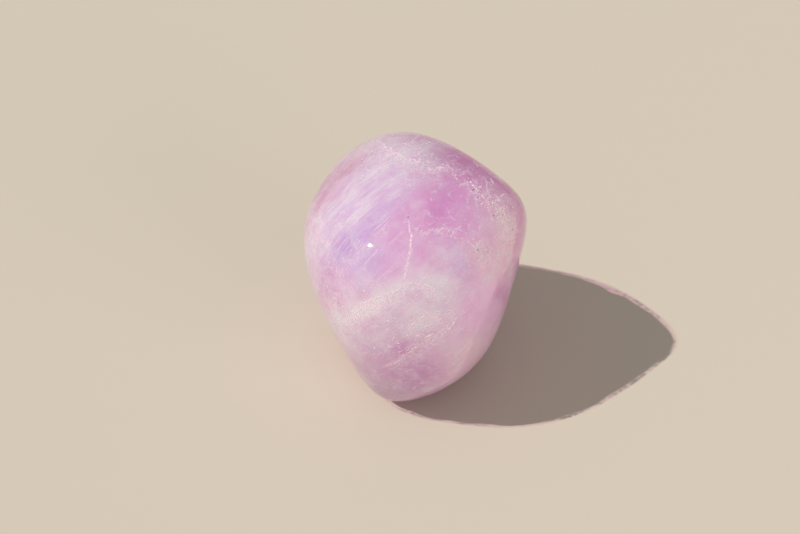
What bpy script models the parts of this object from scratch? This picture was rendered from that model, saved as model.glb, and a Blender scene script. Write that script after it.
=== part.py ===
"""A tumbled kunzite pebble: one natural stone, so one closed solid at its real size.

Kunzite is the lilac-pink variety of spodumene. The rough breaks along flat cleavages, and tumbling wears
those flats into broad, gently domed areas with well rounded ridges between them. The pebble is therefore
built from its worn flats: each one has a direction and a reach from the middle of the stone, and one
rounding value says how far the tumbling has worn the ridges.

Frame: +Z is up, and the pebble rests on z = 0. The origin is under the middle of its bounding box.
-Y is the broad front of the stone, and +X is its right side.
"""

import math

import bmesh
import bpy
import numpy as np

MM = 0.001  # the table below is in millimetres, and Blender works in metres

# Worn flats. Azimuth is in degrees from +X towards +Y, and elevation in degrees above the horizon.
# Reach is the distance in mm from the middle of the stone to the plane of the flat. They are round values,
# in steps of 5 degrees and a quarter of a millimetre, checked by eye against the photo's outline.
WORN_FLATS = {
    "crown": (0, 90, 13.25),
    "front_face": (-135, 60, 12.0),
    "front_right_face": (-60, 45, 13.0),
    "front_lower_face": (-95, 20, 11.5),
    "right_shoulder": (-35, 5, 11.5),
    "upper_right_face": (40, 30, 14.5),
    "right_side": (-5, -15, 11.5),
    "lower_right_face": (-45, -40, 12.5),
    "toe": (-80, -45, 15.5),
    "belly": (-105, -5, 11.5),
    "lower_left_face": (-155, -20, 10.0),
    "left_front": (-150, 15, 11.0),
    "left_side": (180, -5, 11.25),
    "upper_left_face": (160, 45, 12.75),
    "back_face": (75, 10, 13.0),
    "back_right_face": (40, -20, 12.5),
    "back_left_face": (145, -15, 12.0),
    "heel": (90, -45, 14.5),
    "rest_face": (0, -90, 12.0),
}
RIDGE_SHARPNESS = 9.5  # about 4 is an egg, and 20 is a cut gem: tumbling leaves 8 to 10

REST_DEPTH_MM = 11.5  # the middle of the stone stands this far above the flat that it rests on

ICOSPHERE_SUBDIVISIONS = 5  # 5120 triangles, about 0.8 mm apart on the stone

LILAC_PINK = (0.68, 0.38, 0.60, 1.0)
POLISHED_ROUGHNESS = 0.18
SPODUMENE_IOR = 1.66


def outward(azimuth, elevation):
    """The unit vector that points in a direction given in degrees."""
    around, up = math.radians(azimuth), math.radians(elevation)
    return (math.cos(around) * math.cos(up), math.sin(around) * math.cos(up), math.sin(up))


def reach(directions):
    """How far the surface lies from the middle of the stone, in mm, in each of these unit directions.

    A flat with normal n and reach h, met along the direction d, is h / (n . d) away, and the nearest
    flat would give a sharp polyhedron. The power mean (sum of (n . d / h) ** p) ** (-1 / p) is a smooth
    version of that nearest distance, and the power p says how crisp the ridges stay.
    """
    normals = np.array([outward(azimuth, elevation) for azimuth, elevation, _ in WORN_FLATS.values()])
    reaches = np.array([distance for _, _, distance in WORN_FLATS.values()])
    closeness = np.clip(directions @ normals.T, 0.0, None) / reaches
    return (closeness**RIDGE_SHARPNESS).sum(axis=1) ** (-1.0 / RIDGE_SHARPNESS)


def worn_pebble():
    """An icosphere whose points slide along their own directions onto the worn flats, in metres."""
    pebble = bmesh.new()
    bmesh.ops.create_icosphere(pebble, subdivisions=ICOSPHERE_SUBDIVISIONS, radius=1.0)
    directions = np.array([vertex.co.normalized() for vertex in pebble.verts])
    for vertex, distance in zip(pebble.verts, reach(directions)):
        vertex.co = vertex.co.normalized() * float(distance * MM)
    return pebble


def grind_rest_flat(pebble):
    """Cuts the underside off level, where the stone rests, and closes the cut with one flat face."""
    cut = bmesh.ops.bisect_plane(
        pebble,
        geom=pebble.verts[:] + pebble.edges[:] + pebble.faces[:],
        plane_co=(0.0, 0.0, -REST_DEPTH_MM * MM),
        plane_no=(0.0, 0.0, -1.0),
        clear_outer=True,
    )
    rim = [item for item in cut["geom_cut"] if isinstance(item, bmesh.types.BMEdge)]
    bmesh.ops.contextual_create(pebble, geom=rim)


def stand_on_origin(pebble):
    """Moves the stone so that it rests on z = 0, with the origin under the middle of its box."""
    points = np.array([vertex.co for vertex in pebble.verts])
    low, high = points.min(axis=0), points.max(axis=0)
    middle = (low + high) / 2.0
    bmesh.ops.translate(pebble, verts=pebble.verts[:], vec=(-middle[0], -middle[1], -low[2]))


def polished_kunzite():
    """Lilac-pink spodumene with a tumbled polish."""
    material = bpy.data.materials.new("kunzite_polished")
    material.use_nodes = True
    surface = material.node_tree.nodes["Principled BSDF"]
    surface.inputs["Base Color"].default_value = LILAC_PINK
    surface.inputs["Roughness"].default_value = POLISHED_ROUGHNESS
    surface.inputs["Metallic"].default_value = 0.0
    surface.inputs["IOR"].default_value = SPODUMENE_IOR
    material.diffuse_color = LILAC_PINK
    return material


def clear_scene():
    for item in list(bpy.data.objects):
        bpy.data.objects.remove(item, do_unlink=True)


def build():
    clear_scene()
    collection = bpy.data.collections.new("kunzite_pebble")
    bpy.context.scene.collection.children.link(collection)

    pebble = worn_pebble()
    grind_rest_flat(pebble)
    stand_on_origin(pebble)
    bmesh.ops.recalc_face_normals(pebble, faces=pebble.faces[:])

    mesh = bpy.data.meshes.new("kunzite")
    pebble.to_mesh(mesh)
    pebble.free()
    mesh.shade_smooth()
    mesh.set_sharp_from_angle(angle=math.radians(30))
    mesh.materials.append(polished_kunzite())

    stone = bpy.data.objects.new("kunzite", mesh)
    collection.objects.link(stone)


build()
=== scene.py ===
# %% [markdown]
# # A tumbled kunzite pebble
#
# Kunzite is the lilac-pink variety of spodumene. A tumbled pebble of it is one natural piece of crystal,
# worn smooth. The crystal itself is clear, and what makes the stone milky is sealed inside it: clouds of
# tiny hollow tubes along the crystal's length, old cracks that have healed, and a few grains.
#
# A painted solid would look like porcelain, so the stone is built in layers. The skin is the polished
# surface of the clear crystal. A little under it lies the cloud, the milky mass that holds the soft
# colours. Between the two lie the healed cracks, the veils, the tubes and the grains. Everything follows
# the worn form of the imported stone, in millimetres.

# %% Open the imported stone
import math

import bmesh
import bpy
import numpy as np
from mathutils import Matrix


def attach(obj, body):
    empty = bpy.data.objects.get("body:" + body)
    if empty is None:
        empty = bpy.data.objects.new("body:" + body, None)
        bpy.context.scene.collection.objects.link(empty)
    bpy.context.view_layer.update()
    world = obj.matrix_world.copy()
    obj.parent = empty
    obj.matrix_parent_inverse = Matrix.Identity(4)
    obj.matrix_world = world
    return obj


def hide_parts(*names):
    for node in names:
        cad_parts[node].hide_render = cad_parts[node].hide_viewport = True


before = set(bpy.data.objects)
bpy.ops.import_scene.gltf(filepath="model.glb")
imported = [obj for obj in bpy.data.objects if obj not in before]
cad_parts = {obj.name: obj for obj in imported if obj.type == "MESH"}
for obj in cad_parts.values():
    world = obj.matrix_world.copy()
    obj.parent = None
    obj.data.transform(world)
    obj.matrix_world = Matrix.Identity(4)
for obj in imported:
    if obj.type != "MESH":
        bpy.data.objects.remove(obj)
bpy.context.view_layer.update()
MM = 0.001

# %% [markdown]
# ## The camera
#
# It comes first, because the marks on the front were placed from the photograph. The stone is seen from
# its front, from 45 degrees above, through a long lens. The photograph is 800 by 534 pixels, and a pixel
# in it is a line of sight that meets the stone in one point.

# %% Camera
CAMERA_ELEVATION = math.radians(45)
CAMERA_DISTANCE = 286.0
CAMERA_AIM = np.array([-1.6, -1.0, 12.75])
LENS, SENSOR = 120.0, 36.0
CLIP_NEAR, CLIP_FAR = 0.01, 20.0
PHOTO_WIDTH, PHOTO_HEIGHT = 800, 534

RIGHT = np.array([1.0, 0.0, 0.0])
UP = np.array([0.0, math.sin(CAMERA_ELEVATION), math.cos(CAMERA_ELEVATION)])
TOWARDS = np.cross(RIGHT, UP)
CAMERA_PLACE = CAMERA_AIM + CAMERA_DISTANCE * TOWARDS

camera = bpy.data.objects.new("camera", bpy.data.cameras.new("camera"))
camera.data.lens = LENS
camera.data.sensor_width = SENSOR
camera.data.clip_start = CLIP_NEAR
camera.data.clip_end = CLIP_FAR
camera.location = CAMERA_PLACE * MM
camera.rotation_euler = (math.pi / 2 - CAMERA_ELEVATION, 0.0, 0.0)
bpy.context.scene.collection.objects.link(camera)
bpy.context.scene.camera = camera
print("camera at, mm:", CAMERA_PLACE.round(1))

# %% [markdown]
# ## The worn form
#
# Tumbling wears the flats of the rough into gently domed areas with round ridges between them. Each flat
# has a direction and a reach, the distance in millimetres from the middle of the stone to its plane. They
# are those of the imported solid, so the skin fits it exactly.

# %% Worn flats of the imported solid
WORN_FLATS = {
    "crown": (0, 90, 13.25),
    "front_face": (-135, 60, 12.0),
    "front_right_face": (-60, 45, 13.0),
    "front_lower_face": (-95, 20, 11.5),
    "right_shoulder": (-35, 5, 11.5),
    "upper_right_face": (40, 30, 14.5),
    "right_side": (-5, -15, 11.5),
    "lower_right_face": (-45, -40, 12.5),
    "toe": (-80, -45, 15.5),
    "belly": (-105, -5, 11.5),
    "lower_left_face": (-155, -20, 10.0),
    "left_front": (-150, 15, 11.0),
    "left_side": (180, -5, 11.25),
    "upper_left_face": (160, 45, 12.75),
    "back_face": (75, 10, 13.0),
    "back_right_face": (40, -20, 12.5),
    "back_left_face": (145, -15, 12.0),
    "heel": (90, -45, 14.5),
    "rest_face": (0, -90, 12.0),
}
RIDGE_SHARPNESS = 9.5
REST_DEPTH = 11.5
REST_CLEARANCE = 0.5  # marks keep this far above the flat that the stone rests on


def outward(azimuth, elevation):
    """The unit vector at these angles in degrees: azimuth from +X towards +Y, elevation above level."""
    around, up = np.radians(azimuth), np.radians(elevation)
    return np.stack([np.cos(around) * np.cos(up), np.sin(around) * np.cos(up), np.sin(up)], axis=-1)


FLATS = np.array(list(WORN_FLATS.values()))
FLAT_NORMALS = outward(FLATS[:, 0], FLATS[:, 1])


def unit(vectors):
    """The same directions, each brought to length one."""
    return vectors / np.linalg.norm(vectors, axis=-1, keepdims=True)


def reach(directions):
    """How far the surface lies from the middle, in mm: (sum over flats of (n . d / h) ** p) ** (-1 / p)."""
    closeness = np.clip(directions @ FLAT_NORMALS.T, 0.0, None) / FLATS[:, 2]
    return (closeness**RIDGE_SHARPNESS).sum(axis=-1) ** (-1.0 / RIDGE_SHARPNESS)


def onto_form(points):
    """Each point, measured from the middle, slid along its own direction onto the worn form."""
    directions = unit(points)
    return directions * reach(directions)[..., None]


def surface_normal(points):
    """The way out of the form: the sum over flats of n / h * (n . p / h) ** (p - 1), at length one."""
    closeness = np.clip(points @ FLAT_NORMALS.T, 0.0, None) / FLATS[:, 2]
    return unit((closeness ** (RIDGE_SHARPNESS - 1) / FLATS[:, 2]) @ FLAT_NORMALS)


# %% [markdown]
# ## A cube wrapped round a ball
#
# A ball made of meridians has two poles where the faces shrink to slivers. Six square grids on the faces
# of a cube, blown up to a ball, have faces of nearly one size everywhere. The lattice counts in whole
# numbers, so points that two grids share are found exactly and kept once.

# %% The lattice
def cube_ball(count):
    """Unit directions and four-sided faces of six count by count grids on a cube.

    A lattice number k between -count and count becomes tan(k / count * 45 degrees), which makes the
    steps equal in angle, and the point (1, tan a, tan b) is then brought to length one.
    """
    steps = np.arange(-count, count + 1, 2)
    first, second = np.meshgrid(steps, steps, indexing="ij")
    corner = np.arange(count * (count + 1)).reshape(count, count + 1)[:, :-1]
    square = np.stack([corner, corner + count + 1, corner + count + 2, corner + 1], axis=-1).reshape(-1, 4)
    points, faces = [], []
    for axis in range(3):
        for side in (1, -1):
            grid = np.empty(first.shape + (3,), int)
            grid[..., axis] = side * count
            grid[..., (axis + 1) % 3] = first
            grid[..., (axis + 2) % 3] = second
            faces.append((square if side > 0 else square[:, ::-1]) + len(points) * first.size)
            points.append(grid.reshape(-1, 3))
    lattice, number = np.unique(np.concatenate(points), axis=0, return_inverse=True)
    return unit(np.tan(lattice / count * math.pi / 4)), number.reshape(-1)[np.concatenate(faces)]


SKIN_GRID = 126
skin_directions, skin_faces = cube_ball(SKIN_GRID)
print("skin points:", len(skin_directions), "triangles:", 2 * len(skin_faces))

# %% Place of the stone's middle
worn = onto_form(skin_directions)
kept = worn[worn[:, 2] > -REST_DEPTH]
MIDDLE = np.append(-(kept.min(axis=0) + kept.max(axis=0))[:2] / 2, REST_DEPTH)
print("middle of the stone, mm:", MIDDLE.round(3))

# %% [markdown]
# ## From a pixel to the stone
#
# A mark that was read off the photograph is placed by its line of sight: the line is walked in small
# steps, and the first point that lies inside the worn form is where the mark sits. From here on, every
# point is measured from the middle of the stone, and moved to its place when its mesh is made.

# %% Lines of sight
FOCAL_PIXELS = LENS / SENSOR * PHOTO_WIDTH
SIGHT_RANGE = 25.0
SIGHT_STEP = 0.05


def on_stone(pixels):
    """The points of the worn form that the photograph shows at these (across, down) pixels."""
    across, down = np.asarray(pixels, float).reshape(-1, 2).T
    slope_right = (across - PHOTO_WIDTH / 2) / FOCAL_PIXELS
    slope_up = (PHOTO_HEIGHT / 2 - down) / FOCAL_PIXELS
    sight = slope_right[:, None] * RIGHT + slope_up[:, None] * UP - TOWARDS
    depth = np.arange(CAMERA_DISTANCE - SIGHT_RANGE, CAMERA_DISTANCE + SIGHT_RANGE, SIGHT_STEP)
    path = CAMERA_PLACE - MIDDLE + depth[:, None] * sight[:, None, :]
    gap = np.linalg.norm(path, axis=-1) - reach(unit(path))
    inside = gap < 0
    nearest = np.where(inside.any(axis=1), inside.argmax(axis=1), gap.argmin(axis=1))
    return onto_form(path[np.arange(len(path)), nearest])


GLINT_PIXEL = (374, 239)
print("glint pixel meets the stone at, mm:", (on_stone(GLINT_PIXEL) + MIDDLE).round(2))

# %% [markdown]
# ## Soft unevenness
#
# Nothing grown or worn is perfectly even. A sum of slow waves in random directions gives a smooth,
# seamless unevenness at one chosen wavelength, and a fixed seed gives the same one on every run.

# %% Slow waves
def waves(points, wavelength, seed, count=24):
    """A sum of cosines of (k . p + phase), with each k of length about 2 pi / wavelength: mostly -1 to 1."""
    draw = np.random.default_rng(seed)
    heading = unit(draw.normal(size=(count, 3)))
    spread = draw.uniform(0.7, 1.3, count)[:, None]
    phase = draw.uniform(0.0, 2 * math.pi, count)
    wave = np.cos(points @ (heading / spread * 2 * math.pi / wavelength).T + phase)
    return wave.sum(axis=-1) / math.sqrt(count)


# %% Colours, nodes and meshes
def linear(hex_colour):
    """An sRGB colour such as "#C9A6D0" as linear red, green and blue."""
    parts = [int(hex_colour[i : i + 2], 16) / 255 for i in (1, 3, 5)]
    return [part / 12.92 if part <= 0.04045 else ((part + 0.055) / 1.055) ** 2.4 for part in parts]


def add_node(material, kind, inputs=None, **settings):
    """Adds a node with these settings. Each input is given a value, or the output that feeds it."""
    node = material.node_tree.nodes.new(kind)
    for name, value in settings.items():
        setattr(node, name, value)
    for name, value in (inputs or {}).items():
        if isinstance(value, bpy.types.NodeSocket):
            material.node_tree.links.new(value, node.inputs[name])
        else:
            node.inputs[name].default_value = value
    return node


def new_material(name):
    material = bpy.data.materials.new(name)
    material.use_nodes = True
    material.node_tree.nodes.clear()
    return material


def mesh_piece(name, points, faces, material, smooth=True, **attributes):
    """A piece from points measured from the stone's middle, with an attribute for each array."""
    mesh = bpy.data.meshes.new(name)
    mesh.from_pydata(((points + MIDDLE) * MM).tolist(), [], faces.tolist())
    mesh.polygons.foreach_set("use_smooth", np.full(len(mesh.polygons), smooth))
    for title, values in attributes.items():
        if values.ndim == 1:
            mesh.attributes.new(title, "FLOAT", "POINT").data.foreach_set("value", values.astype(np.float32))
        else:
            rgba = np.ones((len(values), 4), np.float32)
            rgba[:, :3] = values
            mesh.attributes.new(title, "FLOAT_COLOR", "POINT").data.foreach_set("color", rgba.ravel())
    mesh.update()
    mesh.materials.append(material)
    piece = bpy.data.objects.new(name, mesh)
    bpy.context.scene.collection.objects.link(piece)
    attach(piece, "root")
    print(name, "triangles:", sum(len(face.vertices) - 2 for face in mesh.polygons))
    return piece


def texture_scale(size):
    """The scale at which a texture in metres repeats about every so many millimetres."""
    return 1.0 / (size * MM)


# %% [markdown]
# ## Zones
#
# The colour of kunzite follows how the crystal grew, so it changes in soft zones that run through the
# stone. A zone here is a soft blob in space, longer one way than the other. On the front its middle is a
# point that the photograph shows. The back isn't in the photograph, so its zones are given by direction,
# in the same colours. A few front zones paint light and shade into the colour instead: a paler glow on
# the shaded right flank, and a darker edge along the outline.

# %% The share of a zone
ZONE_DEPTH = 7.0  # a zone's reach in mm, towards the camera and away from it
ZONE_CRISPNESS = 2.0
# A wavelength and a shift in mm, and three seeds
COARSE_RAGGEDNESS = (3.6, 0.28, (71, 72, 73))
FINE_RAGGEDNESS = (1.3, 0.1, (74, 75, 76))


def shifts(points, wavelength, size, seeds):
    """A small shift for each point: slow waves of this size, one set for each of the three axes."""
    return size * np.stack([waves(points, wavelength, seed) for seed in seeds], axis=-1)


def ragged(points):
    """The points, each shifted by up to half a millimetre or so, which makes the zones' edges uneven."""
    return points + shifts(points, *COARSE_RAGGEDNESS) + shifts(points, *FINE_RAGGEDNESS)


def pixel_zone(points, across, down, length, width, tilt):
    """A soft blob: 1 / (1 + q ** c), where q is the squared distance from its middle in its own radii."""
    offset = points - on_stone((across, down))
    right, up = offset @ RIGHT, offset @ UP
    turn = math.radians(tilt)
    along = right * math.cos(turn) + up * math.sin(turn)
    aside = up * math.cos(turn) - right * math.sin(turn)
    q = (along / length) ** 2 + (aside / width) ** 2 + (offset @ TOWARDS / ZONE_DEPTH) ** 2
    return 1.0 / (1.0 + q**ZONE_CRISPNESS)


def side_zone(points, azimuth, elevation, radius):
    """The same blob, round, with its middle where this direction in degrees meets the form."""
    offset = points - onto_form(outward(azimuth, elevation))
    q = (offset**2).sum(axis=-1) / radius**2
    return 1.0 / (1.0 + q**ZONE_CRISPNESS)


# %% Colour zones
# The same few colours turn up all over the stone, as they do in the real crystal. But the blush and the rose
# are paler than the crystal's own pink: they are a painted glow on the right and lower right flank, which lie
# in shade. On the lower right edge, the blush's warmth is painted light bounced from the floor. The dusk is
# painted shade, a darker edge along the outline.
MILK, PALE_PINK, GREY_LILAC = "#F4ECF2", "#E6CEE0", "#D4C6D8"
LILAC, VIOLET = "#C4B4E0", "#A896CC"
PINK, MAUVE, ORCHID = "#D8A2D0", "#BE90B8", "#A462A0"
BLUSH_AND_GLOW, ROSE_AND_GLOW, DUSK_AND_EDGE_SHADE = "#F8CCD2", "#F9BEE2", "#965C86"
BASE_PINK = "#DCB9D0"
# Each front zone: middle in pixels, half length and half width in mm, tilt in degrees, colour, strength.
# The rims are painted shade, a darker edge along the outline as the front view sees it. They lie a few pixels
# inside the outline, because the cloud's own edge is that much further in.
FRONT_ZONES = {
    "crown_mauve": (404, 141, 4.4, 1.2, 3, MAUVE, 0.9),
    "crown_pale": (404, 164, 3.2, 1.6, 12, PALE_PINK, 0.8),
    "crown_grey": (436, 152, 1.9, 1.2, -20, GREY_LILAC, 0.8),
    "fibrous_band": (360, 203, 8.0, 2.9, 42, LILAC, 0.75),
    "left_edge": (314, 245, 3.4, 1.4, 80, GREY_LILAC, 0.85),
    "violet_band": (374, 224, 4.2, 1.2, 40, LILAC, 0.8),
    "violet_dark": (349, 247, 3.3, 1.1, 38, VIOLET, 0.85),
    "violet_light": (370, 263, 2.6, 1.9, 20, LILAC, 0.9),
    "front_pink": (406, 245, 4.2, 2.4, 80, PINK, 0.55),
    "magenta_heart": (449, 203, 3.6, 2.8, 55, PINK, 1.0),
    "heart_tail": (468, 231, 2.6, 1.3, -15, PINK, 0.85),
    "magenta_ridge": (464, 161, 2.4, 1.2, -38, ORCHID, 0.9),
    "right_upper": (497, 193, 3.4, 1.7, -42, MAUVE, 0.7),
    # Painted glow: the right shoulder and middle get a paler colour than the crystal has there, because that
    # flank lies in shade
    "right_shoulder": (505, 236, 3.2, 1.6, -80, BLUSH_AND_GLOW, 0.85),
    "right_middle_glow": (490, 266, 2.8, 1.7, -70, BLUSH_AND_GLOW, 0.75),
    "violet_patch": (459, 268, 2.4, 1.1, -75, LILAC, 0.6),
    "pale_middle": (436, 284, 2.4, 1.2, 0, MILK, 0.75),
    "pale_band": (372, 303, 4.6, 1.2, 28, MILK, 0.85),
    "grey_pink": (398, 322, 3.6, 2.0, 22, GREY_LILAC, 0.8),
    "pale_lower": (428, 315, 2.6, 1.5, 20, MILK, 0.65),
    "left_lower_pink": (329, 286, 2.6, 1.2, -68, MAUVE, 0.85),
    # Partly painted reflection: the pale strip along the lower-left edge paints the sheen of the bright floor
    # there, over the paler cloud
    "lower_left_pale_and_sheen": (342, 331, 3.4, 1.3, -60, MILK, 0.6),
    "mottled": (378, 338, 2.6, 1.5, 20, GREY_LILAC, 0.7),
    # Painted glow: the lower right gets a paler, brighter pink than the crystal has, because it lies in shade
    "lower_right_pink_glow": (478, 310, 3.6, 2.2, 66, ROSE_AND_GLOW, 0.95),
    "right_deep": (500, 292, 1.6, 0.5, -74, MAUVE, 0.7),
    # Painted light: the peach edge paints the warm light bounced from the floor onto the lower right edge
    "peach_edge_glow": (468, 352, 3.6, 1.3, 42, BLUSH_AND_GLOW, 0.85),
    "toe_dark": (400, 349, 1.9, 0.9, 25, MAUVE, 0.8),
    "mauve_toe": (415, 376, 3.8, 2.0, 12, MAUVE, 0.8),
    # Painted shade: these rims darken the cloud along the outline. The upper-left one also marks a clearer
    # strip of crystal
    "gem_rim": (342, 173, 6.6, 1.1, 47, DUSK_AND_EDGE_SHADE, 0.95),
    "left_rim_shade": (316, 217, 3.2, 0.6, 68, DUSK_AND_EDGE_SHADE, 0.6),
    "crown_rim_shade": (405, 139, 5.0, 0.6, 2, DUSK_AND_EDGE_SHADE, 0.6),
    "shoulder_rim_shade": (484, 176, 5.2, 0.6, -38, DUSK_AND_EDGE_SHADE, 0.5),
    "right_rim_shade": (517, 226, 4.6, 0.5, -88, DUSK_AND_EDGE_SHADE, 0.5),
}
# Each side zone: azimuth and elevation of its middle in degrees, radius in mm, colour, strength
SIDE_ZONES = {
    "back_pale": (95, 35, 6.5, PALE_PINK, 0.9),
    "back_pink": (60, -8, 5.0, PINK, 0.85),
    "back_lilac": (125, -5, 5.5, LILAC, 0.7),
    "left_pale": (170, 12, 4.5, PALE_PINK, 0.7),
    "right_pink": (15, 5, 4.5, PINK, 0.8),
    "under_mauve": (-60, -55, 6.0, MAUVE, 0.7),
}
# Broad bands cross the base colour, about this far apart in mm, and twice as far apart along X
BASE_BANDS, BASE_BAND_STRETCH, BASE_BAND_STRENGTH = 9.0, [0.5, 1.0, 1.0], 0.5


def cloud_colour(points):
    """The base pink, turned towards each zone's colour by that zone's share, one zone after the other."""
    uneven = ragged(points)
    banding = waves(points * BASE_BAND_STRETCH, BASE_BANDS, seed=3)
    layers = [
        (np.clip(banding, 0, 1), PALE_PINK, BASE_BAND_STRENGTH),
        (np.clip(-banding, 0, 1), MAUVE, BASE_BAND_STRENGTH),
    ]
    layers += [(pixel_zone(uneven, *zone[:-2]), *zone[-2:]) for zone in FRONT_ZONES.values()]
    layers += [(side_zone(uneven, *zone[:-2]), *zone[-2:]) for zone in SIDE_ZONES.values()]
    colour = np.tile(linear(BASE_PINK), (len(points), 1))
    for share, tint, strength in layers:
        colour = colour + strength * share[:, None] * (np.array(linear(tint)) - colour)
    return colour


# %% [markdown]
# ## The cloud
#
# The cloud is the milky mass a little under the surface. Light goes deep into it and comes back softened,
# so it is a Principled shader with full subsurface scattering, over lengths longer than the stone itself.
# That is what makes the whole pebble glow, with hardly a dark side. Where the stone is clear as a gem, the
# cloud lies deeper, and the pink of the crystal above it shows more strongly.

# %% Where the cloud is streaked, webbed and deep
FIBRE_TILT = math.radians(42)
FIBRE_AXIS = RIGHT * math.cos(FIBRE_TILT) + UP * math.sin(FIBRE_TILT)
CLOUD_GRID = 100
CLOUD_DEPTH = 0.45
CLOUD_UNEVENNESS = 0.12
UNEVENNESS_LENGTH = 3.0
# Each gem zone: middle in pixels, half length and half width in mm, tilt, how much deeper the cloud lies
GEM_ZONES = {
    "gem_rim": (343, 173, 6.0, 1.0, 46, 0.2),
    "magenta_heart": (450, 204, 3.2, 2.4, 60, 1.2),
    "magenta_ridge": (460, 158, 2.4, 1.2, -35, 1.2),
}
# The streaked and the webbed zones are the same, and end with a strength
FIBROUS_ZONES = {
    "upper_left": (358, 200, 9.0, 2.6, 42, 1.0),
    "lower_band": (385, 318, 6.5, 2.6, 25, 0.45),
    "left_edge": (322, 290, 3.0, 2.0, -70, 0.4),
}
FIBROUS_EVERYWHERE = 0.15
WEB_ZONES = {
    "crown": (418, 160, 4.2, 2.2, -8, 0.9),
    "right": (478, 205, 4.5, 2.4, -50, 0.8),
    "middle": (440, 240, 3.0, 2.4, 0, 0.45),
    "lower": (420, 335, 4.5, 2.4, 25, 0.6),
    "violet": (350, 262, 3.0, 1.6, 25, 0.5),
}
WEBBED_EVERYWHERE = 0.3


def zone_sum(points, zones, everywhere=0.0):
    """The zones' shares times their strengths, added up, with a little of it everywhere."""
    uneven = ragged(points)
    total = np.full(len(points), everywhere)
    for *place, strength in zones.values():
        total = total + strength * pixel_zone(uneven, *place)
    return total


cloud_directions, cloud_faces = cube_ball(CLOUD_GRID)
cloud_worn = onto_form(cloud_directions)
cloud_depth = (
    CLOUD_DEPTH
    + zone_sum(cloud_worn, GEM_ZONES)
    + CLOUD_UNEVENNESS * waves(cloud_worn, UNEVENNESS_LENGTH, seed=5)
)
print("cloud lies below the skin, mm:", cloud_depth.min().round(2), "to", cloud_depth.max().round(2))

# %% [markdown]
# ## The cloud's patterns
#
# Close up, the milk isn't even. Silky fibres run through it, some clouds are denser than others, fine
# cracks cross it, and it is dotted with specks. These could be modelled too, but they lie in soft light
# and have no edge to catch it, so they are colours in the cloud's own material. Each pattern is laid over
# the one before, where a number that comes from a texture passes from one value to another.

# %% Laying one colour over another
def lay_over(material, under, tint, pattern, start, end, most, where=None):
    """The colour under, covered by a tint, as the output that carries it.

    The tint's share goes from 0 to most while the pattern goes from start to end, and it is multiplied by
    where, if that is given. A Mix node has several sockets of one name, so they are given by number.
    """
    share = add_node(
        material, "ShaderNodeMapRange", {"Value": pattern, "From Min": start, "From Max": end, "To Max": most}
    ).outputs["Result"]
    if where is not None:
        share = add_node(material, "ShaderNodeMath", {0: share, 1: where}, operation="MULTIPLY").outputs[0]
    return add_node(
        material, "ShaderNodeMix", {0: share, 6: under, 7: (*linear(tint), 1.0)}, data_type="RGBA"
    ).outputs[2]


# %% Silky fibres
# In mm. The real tubes are hundredths of a millimetre wide, which is too fine to show, so a fibre is drawn
# two pixels of the photograph wide.
BAND_WIDTH, FIBRE_WIDTH = 0.8, 0.22
FIBRE_STRETCH = 12.0
PALE_FIBRE, DEEP_FIBRE = "#F6EDF5", "#C39CC8"


def lay_fibres(cloud, place, under, fibrous):
    """Bands and hairs of noise, turned so that their first axis follows the fibres, and stretched there."""
    yaw, pitch = math.atan2(FIBRE_AXIS[1], FIBRE_AXIS[0]), -math.asin(FIBRE_AXIS[2])
    along = add_node(
        cloud,
        "ShaderNodeMapping",
        {"Vector": place, "Rotation": (0.0, pitch, yaw), "Scale": (FIBRE_STRETCH, 1.0, 1.0)},
        vector_type="TEXTURE",
    ).outputs["Vector"]
    bands = add_node(
        cloud, "ShaderNodeTexNoise", {"Vector": along, "Scale": texture_scale(BAND_WIDTH), "Detail": 1.0}
    )
    hairs = add_node(
        cloud, "ShaderNodeTexNoise", {"Vector": along, "Scale": texture_scale(FIBRE_WIDTH), "Detail": 3.0}
    )
    fibres = add_node(
        cloud, "ShaderNodeMix", {0: 0.5, 2: bands.outputs["Fac"], 3: hairs.outputs["Fac"]}, data_type="FLOAT"
    ).outputs[0]
    under = lay_over(cloud, under, PALE_FIBRE, fibres, start=0.46, end=0.66, most=0.5, where=fibrous)
    return lay_over(cloud, under, DEEP_FIBRE, fibres, start=0.48, end=0.32, most=0.25, where=fibrous)


# %% Denser and clearer clouds
MOTTLE_SIZE = 1.8  # mm from one small cloud to the next
PALE_MOTTLE, DEEP_MOTTLE = "#F3E6F0", "#C795B6"


def lay_mottle(cloud, place, under):
    """Small clouds of noise, some paler and some deeper than the mass around them."""
    mottle = add_node(
        cloud,
        "ShaderNodeTexNoise",
        {"Vector": place, "Scale": texture_scale(MOTTLE_SIZE), "Detail": 4.0, "Roughness": 0.6},
    ).outputs["Fac"]
    under = lay_over(cloud, under, PALE_MOTTLE, mottle, start=0.5, end=0.72, most=0.3)
    return lay_over(cloud, under, DEEP_MOTTLE, mottle, start=0.5, end=0.3, most=0.22)


# %% Web of fine healed cracks
# The cell is in mm, and the line in cells. A real crack is far finer, so it is drawn one pixel wide.
WEB_CELL, WEB_LINE = 1.5, 0.035
BEND_SIZE, BEND_SHARE = 1.1, 0.0016  # a point moves by up to the share, in metres
WEB_WHITE = "#FFF4FB"


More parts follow.
